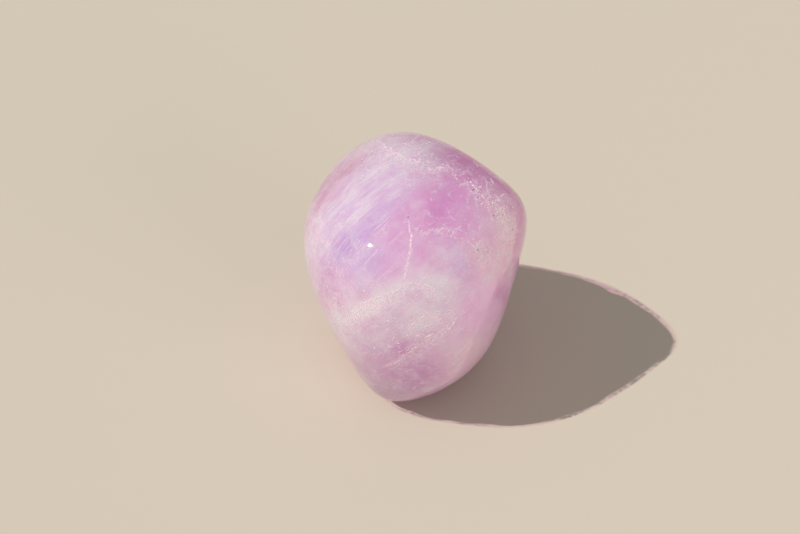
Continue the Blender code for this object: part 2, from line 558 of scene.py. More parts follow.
def lay_web(cloud, place, under, webbed):
    """The walls between the cells of a honeycomb that noise has bent, broken up by the same noise."""
    bend = add_node(
        cloud, "ShaderNodeTexNoise", {"Vector": place, "Scale": texture_scale(BEND_SIZE), "Detail": 3.0}
    )
    bent = add_node(
        cloud, "ShaderNodeMix", {0: BEND_SHARE, 4: place, 5: bend.outputs["Color"]}, data_type="VECTOR"
    )
    walls = add_node(
        cloud,
        "ShaderNodeTexVoronoi",
        {"Vector": bent.outputs[1], "Scale": texture_scale(WEB_CELL)},
        feature="DISTANCE_TO_EDGE",
    )
    broken = add_node(
        cloud,
        "ShaderNodeMapRange",
        {"Value": bend.outputs["Fac"], "From Min": 0.48, "From Max": 0.62, "To Max": 0.85},
    )
    patches = add_node(
        cloud, "ShaderNodeMath", {0: broken.outputs["Result"], 1: webbed}, operation="MULTIPLY"
    )
    distance, where = walls.outputs["Distance"], patches.outputs["Value"]
    return lay_over(cloud, under, WEB_WHITE, distance, start=WEB_LINE, end=0.0, most=1.0, where=where)


# %% Bright specks
# The cell is in mm, and the radii in cells, which draws the specks as small as still shows
SPECK_CELL, SPECK_RADIUS, SPECK_HEART = 0.42, 0.10, 0.03
SPECK_WHITE = "#FFF8FC"


def lay_specks(cloud, place, under):
    """One speck in each small cell, where the cell's random colour makes most of them too faint to see."""
    specks = add_node(
        cloud, "ShaderNodeTexVoronoi", {"Vector": place, "Scale": texture_scale(SPECK_CELL)}
    )
    lottery = add_node(cloud, "ShaderNodeSeparateColor", {"Color": specks.outputs["Color"]})
    drawn = add_node(
        cloud,
        "ShaderNodeMapRange",
        {"Value": lottery.outputs["Red"], "From Min": 0.72, "From Max": 1.0, "To Max": 0.8},
    )
    distance, where = specks.outputs["Distance"], drawn.outputs["Result"]
    return lay_over(
        cloud, under, SPECK_WHITE, distance, start=SPECK_RADIUS, end=SPECK_HEART, most=1.0, where=where
    )


# %% Cloud material
SCATTER_LENGTH = 60.0  # mm, for red. The shares of it for red, green and blue keep the deep light pink.
SCATTER_SHARES = (1.0, 0.65, 0.75)


def make_cloud_material():
    """Milky spodumene, formed in the growing crystal: soft, deep and pearly, with no gloss of its own."""
    cloud = new_material("milky_spodumene")
    place = add_node(cloud, "ShaderNodeTexCoord").outputs["Object"]
    colour = add_node(cloud, "ShaderNodeAttribute", attribute_name="zone_colour").outputs["Color"]
    fibrous = add_node(cloud, "ShaderNodeAttribute", attribute_name="fibrous").outputs["Fac"]
    webbed = add_node(cloud, "ShaderNodeAttribute", attribute_name="webbed").outputs["Fac"]
    colour = lay_fibres(cloud, place, colour, fibrous)
    colour = lay_mottle(cloud, place, colour)
    colour = lay_web(cloud, place, colour, webbed)
    colour = lay_specks(cloud, place, colour)
    surface = add_node(
        cloud,
        "ShaderNodeBsdfPrincipled",
        {
            "Base Color": colour,
            "Roughness": 0.5,
            "Specular IOR Level": 0.0,
            "Subsurface Weight": 1.0,
            "Subsurface Radius": SCATTER_SHARES,
            "Subsurface Scale": SCATTER_LENGTH * MM,
        },
    )
    add_node(cloud, "ShaderNodeOutputMaterial", {"Surface": surface.outputs["BSDF"]})
    return cloud


# %% Cloud mesh
cloud_points = cloud_directions * (reach(cloud_directions) - cloud_depth)[:, None]
cloud_points[:, 2] = np.maximum(cloud_points[:, 2], -REST_DEPTH + CLOUD_DEPTH)
mesh_piece(
    "milky_cloud",
    cloud_points,
    cloud_faces,
    make_cloud_material(),
    zone_colour=cloud_colour(cloud_points),
    fibrous=zone_sum(cloud_points, FIBROUS_ZONES, FIBROUS_EVERYWHERE),
    webbed=zone_sum(cloud_points, WEB_ZONES, WEBBED_EVERYWHERE),
)

# %% [markdown]
# ## The skin
#
# The skin is the polished surface of the clear crystal: full transmission with the refractive index of
# spodumene, 1.66, and an absorption that takes out green, so that the crystal is pinker where it is
# deeper. A renderer finds it hard to send lamp light through bent glass, so rays from lamps and rays
# scattered by the cloud pass the skin straight, and are still tinted by the crystal inside.

# %% Skin material
SPODUMENE_IOR = 1.66
POLISH, FROST = 0.02, 0.45  # the roughness where the polish took, and where it didn't
FROSTED_CLEARNESS = 0.45
SCUFF_SIZE = 0.5  # mm across a frosted spot
CRYSTAL_WHITE = "#FFF9FD"
CRYSTAL_TINT, CRYSTAL_DENSITY = "#F2D2EE", 260.0  # per metre, so the tint tells after a few millimetres


def make_skin_material():
    """Clear spodumene, tumble polished: sharp gloss, and frosted spots where it was bruised."""
    skin = new_material("polished_spodumene")
    place = add_node(skin, "ShaderNodeTexCoord").outputs["Object"]
    bruised = add_node(skin, "ShaderNodeAttribute", attribute_name="bruised").outputs["Fac"]
    scuffs = add_node(
        skin,
        "ShaderNodeTexNoise",
        {"Vector": place, "Scale": texture_scale(SCUFF_SIZE), "Detail": 5.0, "Roughness": 0.7},
    )
    spots = add_node(
        skin, "ShaderNodeMapRange", {"Value": scuffs.outputs["Fac"], "From Min": 0.5, "From Max": 0.62}
    )
    frost = add_node(
        skin, "ShaderNodeMath", {0: spots.outputs["Result"], 1: bruised}, operation="MULTIPLY"
    )
    roughness = add_node(
        skin, "ShaderNodeMapRange", {"Value": frost.outputs["Value"], "To Min": POLISH, "To Max": FROST}
    )
    clearness = add_node(
        skin,
        "ShaderNodeMapRange",
        {"Value": frost.outputs["Value"], "To Min": 1.0, "To Max": FROSTED_CLEARNESS},
    )
    surface = add_node(
        skin,
        "ShaderNodeBsdfPrincipled",
        {
            "Base Color": (*linear(CRYSTAL_WHITE), 1.0),
            "Roughness": roughness.outputs["Result"],
            "IOR": SPODUMENE_IOR,
            "Transmission Weight": clearness.outputs["Result"],
        },
    )
    rays = add_node(skin, "ShaderNodeLightPath").outputs
    passing = add_node(
        skin,
        "ShaderNodeMath",
        {0: rays["Is Shadow Ray"], 1: rays["Is Diffuse Ray"]},
        operation="MAXIMUM",
    )
    straight = add_node(skin, "ShaderNodeBsdfTransparent")
    either = add_node(
        skin,
        "ShaderNodeMixShader",
        {0: passing.outputs["Value"], 1: surface.outputs["BSDF"], 2: straight.outputs["BSDF"]},
    )
    crystal = add_node(
        skin,
        "ShaderNodeVolumeAbsorption",
        {"Color": (*linear(CRYSTAL_TINT), 1.0), "Density": CRYSTAL_DENSITY},
    )
    add_node(
        skin,
        "ShaderNodeOutputMaterial",
        {"Surface": either.outputs["Shader"], "Volume": crystal.outputs["Volume"]},
    )
    return skin


# %% [markdown]
# ## Bruises and pits
#
# A tumbled stone is never a perfect mirror. Knocks leave small frosted bruises, which are spots in the
# skin's material, and shallow pits, which are dents in its mesh, so that they bend the reflections.

# %% Bruises and pits
# Each bruise: middle in pixels, half length and half width in mm, tilt, strength
BRUISE_ZONES = {
    "shoulder_belt": (503, 212, 2.0, 0.8, -62, 1.0),
    "shoulder_top": (474, 186, 1.3, 0.5, -40, 0.7),
    "crown_ridge": (424, 162, 1.6, 0.6, 0, 0.5),
    "right_knot": (477, 247, 0.7, 0.5, 60, 0.8),
}
BRUISED_EVERYWHERE = 0.06
PIT_COUNT = 260
PIT_RADIUS, PIT_DEPTH = (0.3, 0.6), (0.01, 0.05)
BELT_PITS = [(470, 183), (475, 190), (478, 196), (494, 203), (503, 212), (508, 222), (514, 231), (515, 244)]
BELT_PIT_RADIUS, BELT_PIT_DEPTH = 0.4, 0.09
SKIN_UNEVENNESS = 0.006

pit_draw = np.random.default_rng(21)
pit_places = onto_form(pit_draw.normal(size=(PIT_COUNT, 3)))
pit_radii = pit_draw.uniform(*PIT_RADIUS, PIT_COUNT)
pit_depths = pit_draw.uniform(*PIT_DEPTH, PIT_COUNT) * pit_draw.uniform(0, 1, PIT_COUNT)
pit_places = np.concatenate([pit_places, on_stone(BELT_PITS)])
pit_radii = np.append(pit_radii, np.full(len(BELT_PITS), BELT_PIT_RADIUS))
pit_depths = np.append(pit_depths, np.full(len(BELT_PITS), BELT_PIT_DEPTH))
print("pits:", len(pit_places), "deepest, mm:", pit_depths.max().round(3))


def pitted(points):
    """How deep the pits are at these points, in mm: each one is depth * exp(-(distance / radius) ** 2)."""
    total = np.zeros(len(points))
    for place, radius, depth in zip(pit_places, pit_radii, pit_depths):
        total += depth * np.exp(-((points - place) ** 2).sum(axis=-1) / radius**2)
    return total


# %% Skin mesh
skin_lift = SKIN_UNEVENNESS * waves(worn, UNEVENNESS_LENGTH, seed=11) - pitted(worn)
skin_points = worn + skin_directions * skin_lift[:, None]
skin_points[:, 2] = np.maximum(skin_points[:, 2], -REST_DEPTH)
skin = mesh_piece(
    "kunzite_skin",
    skin_points,
    skin_faces,
    make_skin_material(),
    bruised=zone_sum(worn, BRUISE_ZONES, BRUISED_EVERYWHERE),
)
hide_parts("kunzite")

# %% [markdown]
# ## Threads under the skin
#
# A healed crack is a thin wall inside the crystal, and what shows of it is mostly its upper edge, a pale
# line just under the polish. Painted on the cloud it would lie too deep and blur in the soft light, so each
# one is a closed sliver of its own: a low roof that looks up at the skin, and a keel that hangs below it.
# The slivers are shaded flat, because smooth normals on so thin a piece lean sideways and turn it dark.

# %% From lines to slivers
NEARLY_ONE = 0.999  # a sliver's ends keep a little width, so that no face shrinks to nothing


def swept(lines, corners):
    """The points and faces of one closed sliver for each line, where lines has the shape (count, steps, 3).

    The section is a ring of corners, (count, sides, 2): how far each one lies aside of the line, and how
    deep under the skin, in mm. The section shrinks onto its first corner towards both ends, by
    sqrt(1 - t ** 2), with t from nearly -1 to nearly 1 along the line.
    """
    count, steps = lines.shape[:2]
    sides = corners.shape[1]
    out = surface_normal(lines)
    aside = unit(np.cross(np.gradient(lines, axis=1), out))
    swell = np.sqrt(1.0 - np.linspace(-NEARLY_ONE, NEARLY_ONE, steps) ** 2)[None, :, None, None]
    first = corners[:, None, :1]
    shape = first + swell * (corners[:, None] - first)
    points = lines[:, :, None] + aside[:, :, None] * shape[..., :1] - out[:, :, None] * shape[..., 1:]
    ring, corner = np.meshgrid(np.arange(steps - 1) * sides, np.arange(sides), indexing="ij")
    here, there = ring + corner, ring + (corner + 1) % sides
    walls = np.stack([here, there, there + sides, here, there + sides, here + sides], axis=-1).reshape(-1, 3)
    fan = np.array([[0, side + 1, side] for side in range(1, sides - 1)])
    one = np.concatenate([walls, fan, fan[:, ::-1] + (steps - 1) * sides])
    faces = (one[None] + np.arange(count)[:, None, None] * steps * sides).reshape(-1, 3)
    return points.reshape(-1, 3), faces


ROOF_SLOPE = 0.25
THREAD_CORNERS = 4


def slivers(lines, width, top, height):
    """Threads with four corners: a low roof of this width, which looks up at the skin, and a keel below."""
    half, eaves = 0.5 * width, top + 0.5 * width * ROOF_SLOPE
    middle = np.zeros(len(lines))
    ring = [(middle, top), (half, eaves), (middle, top + height), (-half, eaves)]
    return swept(lines, np.array(ring).transpose(2, 0, 1))


def tangent_frame(points):
    """The directions to the right and upwards along the surface, as the camera's are nearest to."""
    out = surface_normal(points)
    up = unit(UP - (out @ UP)[..., None] * out)
    return np.cross(up, out), up


# %% Thread material
BEAD_SIZE = 0.22  # the threads are broken into beads about this long, in mm
THREAD_WHITE = "#FFF6FA"


def make_thread_material():
    """A healed crack or a bundle of tubes: white where light catches it, and thin enough to see through."""
    thread = new_material("healed_crack")
    strength = add_node(thread, "ShaderNodeAttribute", attribute_name="strength").outputs["Fac"]
    place = add_node(thread, "ShaderNodeTexCoord").outputs["Object"]
    beads = add_node(
        thread, "ShaderNodeTexNoise", {"Vector": place, "Scale": texture_scale(BEAD_SIZE), "Detail": 2.0}
    )
    broken = add_node(
        thread, "ShaderNodeMapRange", {"Value": beads.outputs["Fac"], "From Min": 0.4, "From Max": 0.62}
    )
    alpha = add_node(
        thread, "ShaderNodeMath", {0: broken.outputs["Result"], 1: strength}, operation="MULTIPLY"
    )
    surface = add_node(
        thread,
        "ShaderNodeBsdfPrincipled",
        {
            "Base Color": (*linear(THREAD_WHITE), 1.0),
            "Roughness": 0.45,
            "Specular IOR Level": 0.2,
            "Alpha": alpha.outputs["Value"],
        },
    )
    add_node(thread, "ShaderNodeOutputMaterial", {"Surface": surface.outputs["BSDF"]})
    return thread


thread_material = make_thread_material()


def thread_piece(name, lines, widths, tops, heights, strengths):
    """One piece of many threads, each with its own width, depths and strength."""
    points, faces = slivers(lines, widths, tops, heights)
    strength = np.repeat(strengths, lines.shape[1] * THREAD_CORNERS)
    mesh_piece(name, points, faces, thread_material, smooth=False, strength=strength)


def above_rest(lines, strengths):
    """The lines that keep clear of the flat that the stone rests on, and their strengths."""
    clear = lines[..., 2].min(axis=1) > -REST_DEPTH + REST_CLEARANCE
    return lines[clear], strengths[clear]


# %% Long healed cracks, placed from the photograph
CRACK_STEPS = 40
CRACK_JITTER = (0.8, 0.05, (31, 32, 33))
CRACK_TOP, CRACK_HEIGHT = 0.03, 0.35  # mm below the skin, and from there down
CURVED_CRACK = [(408, 219), (410, 229), (411, 240), (409, 256), (406, 272), (403, 283)]
# Each crack: width in mm, strength, and the pixels that it runs through
LONG_CRACKS = {
    "curved_hairline": (0.11, 0.8, CURVED_CRACK),
    "curved_glow": (0.36, 0.32, CURVED_CRACK),
    "left_branch": (0.2, 0.7, [(403, 283), (397, 290), (388, 294), (376, 298), (362, 303), (347, 315)]),
    "left_branch_low": (0.1, 0.5, [(398, 289), (390, 297), (378, 304), (366, 309)]),
    "right_branch": (0.1, 0.5, [(403, 284), (412, 283), (424, 285), (438, 290)]),
    "rim_line": (0.11, 0.9, [(318, 198), (321, 194), (326, 188)]),
    "rim_line_low": (0.1, 0.7, [(314, 206), (317, 200), (320, 197)]),
    "rim_dark_edge": (0.09, 0.4, [(344, 168), (350, 163), (357, 157), (363, 153)]),
    "crown_crack": (0.12, 0.85, [(377, 139), (378, 142), (379, 146)]),
    "crown_crack_upper": (0.1, 0.7, [(375, 140), (379, 137), (384, 135)]),
    "crown_branch": (0.11, 0.7, [(381, 145), (386, 147), (391, 148), (395, 151)]),
    "crown_zigzag": (0.11, 0.8, [(401, 146), (403, 144), (409, 144), (412, 142), (414, 145)]),
    "crown_zigzag_high": (0.09, 0.6, [(412, 142), (414, 139), (417, 137), (420, 135)]),
    "crown_arc": (0.1, 0.6, [(419, 145), (424, 144), (427, 143), (430, 142)]),
    "crown_fall": (0.1, 0.6, [(418, 148), (419, 154), (420, 160), (418, 165)]),
    "ridge_line": (0.12, 0.8, [(427, 168), (433, 168), (439, 167), (446, 168), (452, 168)]),
    "ridge_fall": (0.1, 0.5, [(452, 168), (453, 173), (456, 178), (460, 181)]),
    "shoulder_arc": (0.09, 0.5, [(485, 178), (486, 184), (488, 192), (488, 200), (490, 206)]),
    "shoulder_stroke": (0.12, 0.8, [(490, 177), (492, 180), (494, 184)]),
    "shoulder_dash": (0.14, 0.8, [(500, 197), (502, 195), (504, 193)]),
    "network_left": (0.1, 0.6, [(434, 228), (439, 231), (444, 228), (450, 227), (455, 230)]),
    "network_middle": (0.12, 0.6, [(455, 230), (460, 226), (452, 236), (458, 238), (464, 239)]),
    "network_right": (0.12, 0.6, [(464, 239), (470, 242), (474, 246), (480, 251)]),
    "yellow_knot": (0.2, 0.7, [(479, 246), (481, 251), (482, 256), (481, 260)]),
    "heart_hair": (0.07, 0.4, [(446, 203), (448, 209), (452, 216), (455, 222)]),
    "heart_hair_right": (0.07, 0.4, [(461, 208), (457, 214), (454, 220)]),
    "toe_line": (0.1, 0.65, [(391, 366), (398, 361), (405, 356), (412, 351), (417, 347)]),
    "toe_dash": (0.14, 0.8, [(424, 338), (429, 336), (434, 333)]),
    "toe_dash_right": (0.13, 0.8, [(447, 330), (451, 327), (457, 317)]),
    "left_fan_edge": (0.12, 0.5, [(338, 298), (339, 304), (340, 312), (341, 320)]),
    "left_contour": (0.1, 0.5, [(303, 232), (304, 244), (306, 256), (309, 268), (312, 280)]),
}


def smooth_line(pixels, steps):
    """A curve through these pixels on the stone: a cubic through the points, by their running length."""
    marks = on_stone(pixels)
    run = np.append(0.0, np.cumsum(np.linalg.norm(np.diff(marks, axis=0), axis=1)))
    fine = np.linspace(0.0, run[-1], steps)
    slope = np.gradient(marks, run, axis=0)
    part = np.clip(np.searchsorted(run, fine, side="right") - 1, 0, len(run) - 2)
    length = (run[part + 1] - run[part])[:, None]
    t = (fine - run[part])[:, None] / length
    start, end = marks[part], marks[part + 1]
    leave, arrive = slope[part] * length, slope[part + 1] * length
    curve = (2 * t**3 - 3 * t**2 + 1) * start + (t**3 - 2 * t**2 + t) * leave
    return onto_form(curve + (3 * t**2 - 2 * t**3) * end + (t**3 - t**2) * arrive)


def placed_lines(table, steps, jitter):
    """The curves of a table's marks, shaken a little, with their widths and strengths."""
    lines = np.stack([smooth_line(pixels, steps) for _, _, pixels in table.values()])
    widths, strengths = np.array([mark[:2] for mark in table.values()]).T
    return onto_form(lines + shifts(lines, *jitter)), widths, strengths


crack_lines, crack_widths, crack_strengths = placed_lines(LONG_CRACKS, CRACK_STEPS, CRACK_JITTER)
crack_tops, crack_heights = np.outer([CRACK_TOP, CRACK_HEIGHT], np.ones(len(crack_lines)))
thread_piece("healed_cracks", crack_lines, crack_widths, crack_tops, crack_heights, crack_strengths)

# %% [markdown]
# ## Veils
#
# Some of the old cracks lie nearly level under the surface, and show as pale sheets: strong along one edge,
# where they come up to the polish, and fading away from it. A line can't give that fade, so a veil is a
# wide flat sliver, whose strength drops to nothing across its width.

# %% Veils
VEIL_STEPS = 40
VEIL_JITTER = (1.1, 0.09, (34, 35, 36))
VEIL_TOP, VEIL_THICKNESS = 0.1, 0.05
VEIL_POINT = 0.3  # the section's lowest corner lies this part of the way across
VEIL_FADE = [1.0, 0.0, 0.3]  # of the strength, at the section's three corners
# Each veil: width in mm, strength, and the pixels of its strong edge. It lies to the right of the way
# that the edge runs, as seen from outside, which also makes its faces point outwards.
VEILS = {
    "pale_band": (
        2.2, 0.5, [(338, 330), (345, 317), (361, 305), (374, 299), (386, 294), (397, 289), (408, 281)]
    ),
    "pale_middle": (1.6, 0.35, [(402, 283), (412, 282), (424, 284), (437, 289), (450, 296)]),
    "left_fan": (1.6, 0.4, [(336, 293), (337, 302), (338, 312), (341, 324), (345, 338)]),
    "toe_edge": (
        1.4, 0.45, [(384, 366), (394, 360), (404, 354), (416, 346), (430, 336), (444, 327), (456, 315)]
    ),
    "network": (1.1, 0.3, [(413, 226), (424, 230), (436, 229), (448, 228), (462, 230)]),
    "ridge": (0.9, 0.45, [(426, 169), (436, 168), (446, 168), (454, 169)]),
    "crown": (1.2, 0.35, [(378, 139), (388, 147), (398, 153), (410, 158), (424, 162)]),
    "knot": (0.8, 0.5, [(472, 244), (478, 246), (482, 252), (483, 260)]),
}


def veil_sections(widths):
    """Flat three-cornered sections: the strong edge, the far edge and a point just below them."""
    top, bottom = np.full(len(widths), VEIL_TOP), np.full(len(widths), VEIL_TOP + VEIL_THICKNESS)
    ring = [(0.0 * widths, top), (widths, top), (VEIL_POINT * widths, bottom)]
    return np.array(ring).transpose(2, 0, 1)


veil_lines, veil_widths, veil_strengths = placed_lines(VEILS, VEIL_STEPS, VEIL_JITTER)
veil_points, veil_faces = swept(veil_lines, veil_sections(veil_widths))
mesh_piece(
    "healed_veils",
    veil_points,
    veil_faces,
    thread_material,
    smooth=False,
    strength=(veil_strengths[:, None, None] * np.ones((1, VEIL_STEPS, 1)) * VEIL_FADE).ravel(),
)

# %% [markdown]
# ## Webs of short threads
#
# Between the long cracks the crystal is full of short ones, in patches with a direction of their own. Each
# is too small to place by hand, so a patch scatters its threads from a fixed seed, along the surface.

# %% Webs of short threads
# Each front web: middle in pixels, half length and half width in mm, tilt, how many threads, their length
# in mm, the way they run in degrees, how far they stray from it, and their strength
FRONT_WEBS = {
    "crown": (418, 158, 3.4, 1.7, -8, 130, 0.8, 0, 90, 0.55),
    "crown_left": (392, 150, 2.2, 0.9, 20, 30, 0.8, 20, 60, 0.45),
    "rim": (330, 180, 4.2, 0.5, 52, 26, 1.1, 50, 12, 0.4),
    "ridge": (440, 168, 1.6, 0.4, 0, 26, 0.5, 0, 50, 0.6),
    "shoulder": (484, 190, 2.6, 1.4, -45, 70, 0.6, 70, 60, 0.5),
    "belt": (502, 212, 2.2, 0.8, -62, 90, 0.4, -50, 90, 0.7),
    "heart": (452, 208, 2.4, 1.8, 60, 34, 1.1, 70, 40, 0.3),
    "network": (452, 232, 2.8, 0.6, -18, 46, 0.6, -20, 70, 0.5),
    "knot": (480, 250, 0.8, 0.6, 60, 26, 0.5, 60, 60, 0.6),
    "rays": (447, 271, 1.5, 1.1, 40, 26, 0.9, 42, 14, 0.4),
    "right_bits": (470, 266, 1.8, 1.6, -60, 36, 0.5, 80, 40, 0.45),
    "violet": (352, 262, 2.6, 1.3, 25, 40, 0.7, 30, 70, 0.3),
    "left_fan": (340, 304, 1.8, 1.4, -70, 44, 1.0, -75, 18, 0.4),
    "pale_band": (385, 300, 3.6, 1.0, 22, 50, 1.1, 24, 14, 0.4),
    "mottled": (385, 328, 3.2, 1.8, 25, 70, 0.7, 40, 50, 0.35),
    "feathers": (424, 332, 2.8, 0.9, 36, 80, 0.9, 38, 16, 0.55),
    "lower_right": (455, 318, 1.8, 0.9, 50, 36, 0.7, 55, 25, 0.45),
    "toe": (405, 360, 2.6, 1.2, 30, 30, 0.9, 35, 30, 0.3),
    "left_contour": (318, 262, 3.2, 0.6, -75, 30, 0.9, -72, 20, 0.35),
}
# Each side web is the same, with its middle given by azimuth and elevation in degrees
SIDE_WEBS = {
    "back_high": (100, 40, 3.6, 2.0, 30, 90, 1.0, 40, 40, 0.45),
    "back_low": (70, -5, 3.0, 2.2, 60, 70, 0.9, 60, 50, 0.4),
    "back_left": (145, 5, 3.4, 2.4, 40, 90, 1.1, 42, 30, 0.4),
    "left": (175, 25, 3.2, 2.0, 40, 80, 1.1, 44, 20, 0.4),
    "right": (5, 0, 3.2, 2.0, -60, 80, 0.8, 70, 60, 0.45),
    "right_high": (35, 35, 3.0, 1.6, -40, 60, 0.7, 0, 90, 0.45),
    "front_low": (-100, -35, 3.4, 2.0, 20, 50, 0.9, 35, 40, 0.35),
}
WEB_STEPS = 9
WANDER = 0.12
WEB_LENGTH_SPREAD, WEB_STRENGTH_SPREAD = (0.4, 1.6), (0.2, 1.0)
WEB_WIDTH, WEB_TOP, WEB_HEIGHT = (0.04, 0.09), (0.03, 0.15), (0.1, 0.3)


def web_lines(middle, half_length, half_width, tilt, count, length, way, stray, draw):
    """Short wavering lines scattered round a middle, along the surface.

    The line's own way is (along) * s + (aside) * w(s), with s from -L / 2 to L / 2 and w a slow wave.
    """
    right, up = tangent_frame(middle)
    turn = math.radians(tilt)
    first, second = draw.normal(size=(2, count, 1)) * [[[half_length]], [[half_width]]]
    starts = onto_form(
        middle
        + first * (right * math.cos(turn) + up * math.sin(turn))
        + second * (up * math.cos(turn) - right * math.sin(turn))
    )
    right, up = tangent_frame(starts)
    heading = np.radians(way + draw.uniform(-stray, stray, count))[:, None]
    along = right * np.cos(heading) + up * np.sin(heading)
    aside = up * np.cos(heading) - right * np.sin(heading)
    lengths = length * draw.uniform(*WEB_LENGTH_SPREAD, count)
    s = np.linspace(-0.5, 0.5, WEB_STEPS)[None, :, None]
    phase = draw.uniform(0, 2 * math.pi, (count, 1, 1))
    sway = WANDER * (np.sin(5 * s + phase) + 0.5 * np.sin(13 * s + 2 * phase))
    return onto_form(starts[:, None] + lengths[:, None, None] * (s * along[:, None] + sway * aside[:, None]))


placed_webs = [(on_stone(web[:2])[0], *web[2:]) for web in FRONT_WEBS.values()]
placed_webs += [(onto_form(outward(*web[:2])), *web[2:]) for web in SIDE_WEBS.values()]
web_draw = np.random.default_rng(41)
webs = []
web_strengths = []
for middle, half_length, half_width, tilt, count, length, way, stray, strength in placed_webs:
    webs.append(web_lines(middle, half_length, half_width, tilt, count, length, way, stray, web_draw))
    web_strengths.append(strength * web_draw.uniform(*WEB_STRENGTH_SPREAD, count))
webs, web_strengths = above_rest(np.concatenate(webs), np.concatenate(web_strengths))
web_sizes = [web_draw.uniform(*size, len(webs)) for size in (WEB_WIDTH, WEB_TOP, WEB_HEIGHT)]
thread_piece("crack_webs", webs, *web_sizes, web_strengths)

# %% [markdown]
# ## Hollow tubes
#
# The tubes that make kunzite silky are straight hairs along the crystal's length, all nearly parallel.
# They are the same slivers as the threads, longer, fainter and deeper. A real tube is too fine to show, so
# each one stands for a bundle of them, and is drawn up to a pixel of the photograph wide.

# %% Hollow tubes
# Each patch: azimuth and elevation of its middle in degrees, spread in mm, how many tubes, strength
TUBE_ZONES = {
    "upper_left": (-150, 58, 4.2, 260, 0.16),
    "lower_band": (-95, 12, 4.5, 120, 0.12),
    "left": (170, 20, 4.5, 120, 0.16),
    "back": (100, 20, 5.0, 150, 0.16),
    "back_low": (60, -10, 4.0, 80, 0.14),
    "right": (-15, 0, 4.0, 60, 0.12),
}
TUBE_STEPS = 6
TUBE_LENGTH, TUBE_STRAY, TUBE_STRENGTH_SPREAD = (1.5, 5.0), 0.04, (0.3, 1.5)
TUBE_WIDTH, TUBE_TOP, TUBE_HEIGHT = (0.04, 0.11), (0.1, 0.35), (0.04, 0.1)


def tube_lines(azimuth, elevation, spread, count, draw):
    """Straight hairs along the fibre axis, bent only as much as the surface above them."""
    middle = onto_form(outward(azimuth, elevation))
    starts = onto_form(middle + spread * draw.normal(size=(count, 3)))
    out = surface_normal(starts)
    along = unit(FIBRE_AXIS - (out @ FIBRE_AXIS)[:, None] * out + TUBE_STRAY * draw.normal(size=(count, 3)))
    s = np.linspace(-0.5, 0.5, TUBE_STEPS)[None, :, None]
    return onto_form(starts[:, None] + s * draw.uniform(*TUBE_LENGTH, (count, 1, 1)) * along[:, None])


tube_draw = np.random.default_rng(51)
tubes = []
tube_strengths = []
for azimuth, elevation, spread, count, strength in TUBE_ZONES.values():
    tubes.append(tube_lines(azimuth, elevation, spread, count, tube_draw))
    tube_strengths.append(strength * tube_draw.uniform(*TUBE_STRENGTH_SPREAD, count))
tubes, tube_strengths = above_rest(np.concatenate(tubes), np.concatenate(tube_strengths))
tube_sizes = [tube_draw.uniform(*size, len(tubes)) for size in (TUBE_WIDTH, TUBE_TOP, TUBE_HEIGHT)]
thread_piece("hollow_tubes", tubes, *tube_sizes, tube_strengths)

# %% [markdown]
# ## Grains
#
# Where the pebble was knocked, small chips and grains sit at the surface, white or yellowish, with a few
# dark grains among them where the surface shows dark spots. Each grain is a small eight-sided crystal,
# stretched and turned at random, because at this size only its flat sparkle shows. The larger ones are
# placed, and the rest are scattered.

# %% Grains from the photograph
WHITE, YELLOWISH, DARK, BROWN = "#FFFBF6", "#FAE8D2", "#4A3038", "#7A4A3E"
# Each grain: pixel and radius in mm
WHITE_GRAINS = [
    (343, 166, 0.10), (347, 168, 0.07), (362, 159, 0.13), (368, 168, 0.08), (391, 160, 0.06),
    (398, 137, 0.07), (430, 142, 0.13), (436, 143, 0.10), (444, 146, 0.08), (441, 145, 0.07),
    (419, 161, 0.12), (413, 160, 0.08), (423, 163, 0.08), (418, 154, 0.07), (431, 199, 0.12),
    (424, 200, 0.07), (456, 175, 0.09), (470, 182, 0.09), (469, 178, 0.07), (491, 178, 0.09),
    (501, 196, 0.11), (511, 236, 0.13), (505, 222, 0.10), (509, 224, 0.12), (504, 236, 0.08),
    (462, 258, 0.08), (464, 269, 0.12), (470, 273, 0.10), (461, 264, 0.08), (426, 337, 0.14),
    (388, 321, 0.12), (384, 318, 0.08), (343, 258, 0.10), (351, 250, 0.07), (339, 224, 0.08),
    (330, 257, 0.06), (312, 272, 0.08), (389, 205, 0.07), (364, 291, 0.10), (426, 304, 0.09),
    (450, 328, 0.12), (412, 325, 0.09), (409, 327, 0.07), (415, 345, 0.08), (374, 348, 0.08),
]
YELLOWISH_GRAINS = [
    (494, 203, 0.16), (496, 200, 0.12), (493, 206, 0.12), (504, 210, 0.12), (508, 214, 0.10),
    (513, 213, 0.09), (481, 249, 0.15), (482, 253, 0.13), (480, 258, 0.12), (478, 247, 0.10),
    (456, 238, 0.10), (469, 242, 0.10), (444, 229, 0.07), (520, 246, 0.09), (487, 201, 0.09),
]
DARK_GRAINS = [
    (408, 217, 0.16), (473, 190, 0.12), (474, 189, 0.08), (477, 191, 0.11), (478, 197, 0.13),
    (472, 192, 0.07), (494, 215, 0.10), (513, 230, 0.13), (518, 226, 0.09), (488, 252, 0.11),
    (478, 250, 0.09), (471, 242, 0.06), (453, 229, 0.07), (500, 250, 0.05), (418, 292, 0.06),
]


GRAIN_CORNERS = 6
GRAIN_STRETCH = (0.6, 1.4)


